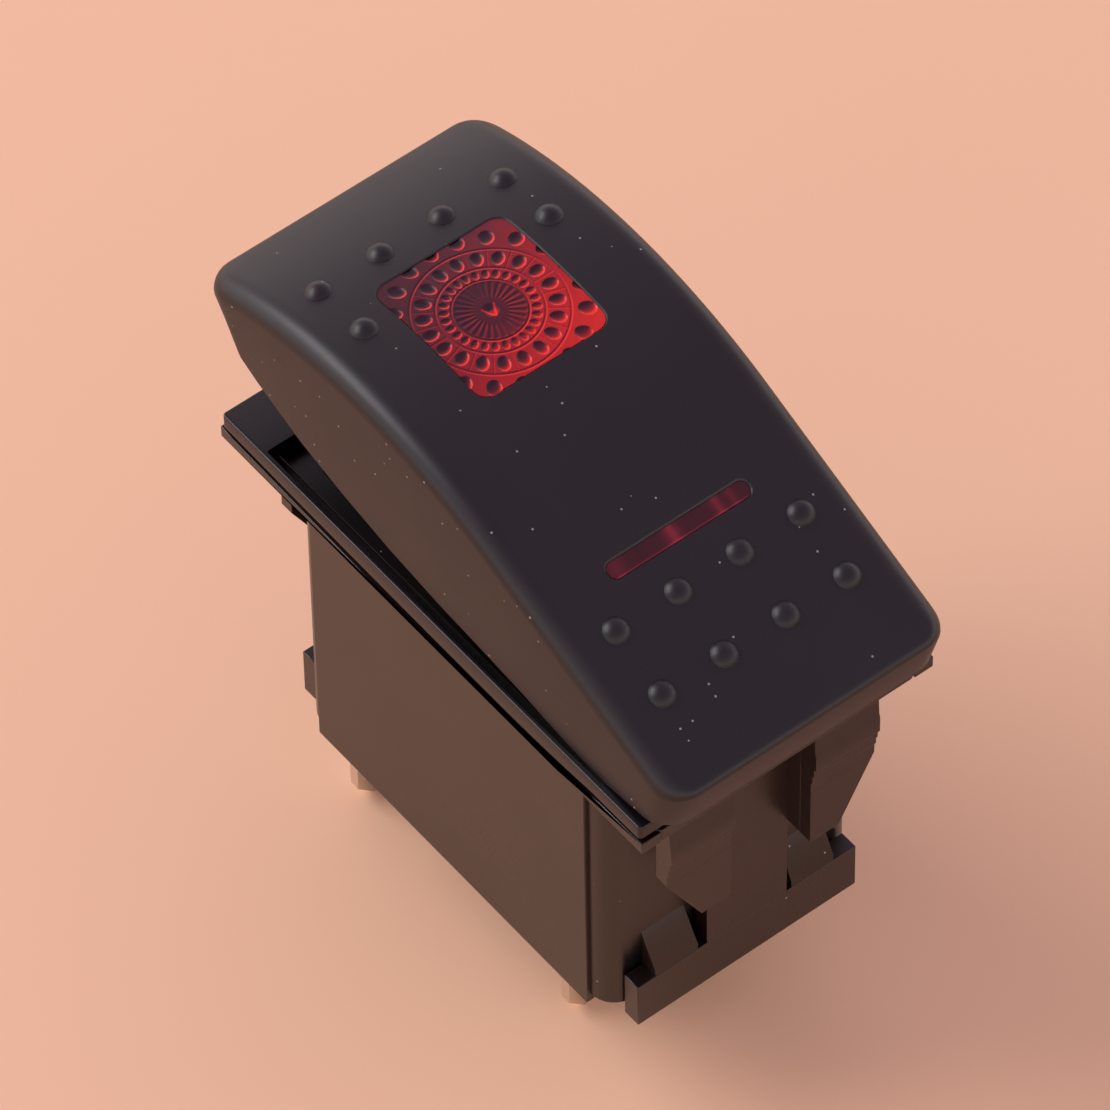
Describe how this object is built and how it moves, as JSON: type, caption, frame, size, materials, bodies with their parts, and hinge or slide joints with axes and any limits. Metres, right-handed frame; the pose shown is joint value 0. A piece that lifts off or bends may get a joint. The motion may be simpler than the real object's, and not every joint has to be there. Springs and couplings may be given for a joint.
{
  "type": "panel rocker switch",
  "caption": "Snap-in panel rocker switch with an arched rocker, two lamp windows, grip bumps, side snap wings and blade terminals.",
  "frame": {"origin": "middle of the underside of the housing's flange, the face that seats on the panel", "axes": "+X across the switch, +Y along its length towards the end with the square window, +Z out of the panel towards the user; the rocker is stored with its near end (-Y) pressed"},
  "size_m": [0.0236, 0.0468, 0.0511],
  "materials": {
    "housing_plastic": "black glass-filled nylon, fine matte grain",
    "bezel_plastic": "black moulded plastic, satin",
    "rocker_plastic": "black moulded plastic, satin with a soft violet sheen",
    "inner_plastic": "dark grey moulded plastic",
    "white_plastic": "natural acetal",
    "red_lens": "clear red plastic with a faceted relief",
    "dark_lens": "dark red clear plastic",
    "lamp_red": "diffused red lamp body",
    "spring_steel": "drawn spring wire",
    "copper_alloy": "rolled copper alloy strip",
    "silver_contact": "silver contact face",
    "tinned_blade": "bright tin plate on brass strip",
    "resistor_body": "lacquered ceramic body"
  },
  "bodies": {
    "housing": {"base_housing": "housing_plastic", "terminal_base": "housing_plastic", "bezel_frame": "bezel_plastic", "fulcrum_terminal": "tinned_blade", "load_terminal": "tinned_blade", "fixed_contact_button": "silver_contact", "far_left_lamp_terminal": "tinned_blade", "far_right_lamp_terminal": "tinned_blade", "near_lamp_terminal": "tinned_blade", "lamp_carrier": "inner_plastic", "upper_led": "lamp_red", "lower_led": "lamp_red", "upper_resistor": "resistor_body", "lower_resistor": "resistor_body"},
    "rocker": {"rocker_cap": "rocker_plastic", "rocker_carrier": "inner_plastic", "upper_lens": "red_lens", "lower_lens": "dark_lens", "plunger_spring": "spring_steel"},
    "plunger": {"contact_plunger": "white_plastic"},
    "contact": {"moving_contact": "copper_alloy", "moving_contact_button": "silver_contact"}
  },
  "joints": [
    {"name": "rocker_tilt", "type": "hinge", "parent": "housing", "child": "rocker", "pos_m": [0, 0, 0.0055], "axis": [-1, 0, 0], "range_deg": [0, 15]},
    {"name": "plunger_slide", "type": "slide", "parent": "rocker", "child": "plunger", "axis": [0, -0.1305, 0.9914], "range_m": [0, 0.0008], "stiffness_N_per_m": 400, "deforming": ["plunger_spring"]},
    {"name": "contact_tilt", "type": "hinge", "parent": "housing", "child": "contact", "pos_m": [0.00475, 0, -0.01292], "axis": [1, 0, 0], "range_deg": [0, 16]}
  ],
  "couplings": [
    {"joint": "contact_tilt", "follows": "rocker_tilt", "ratio": 1.0667}
  ]
}
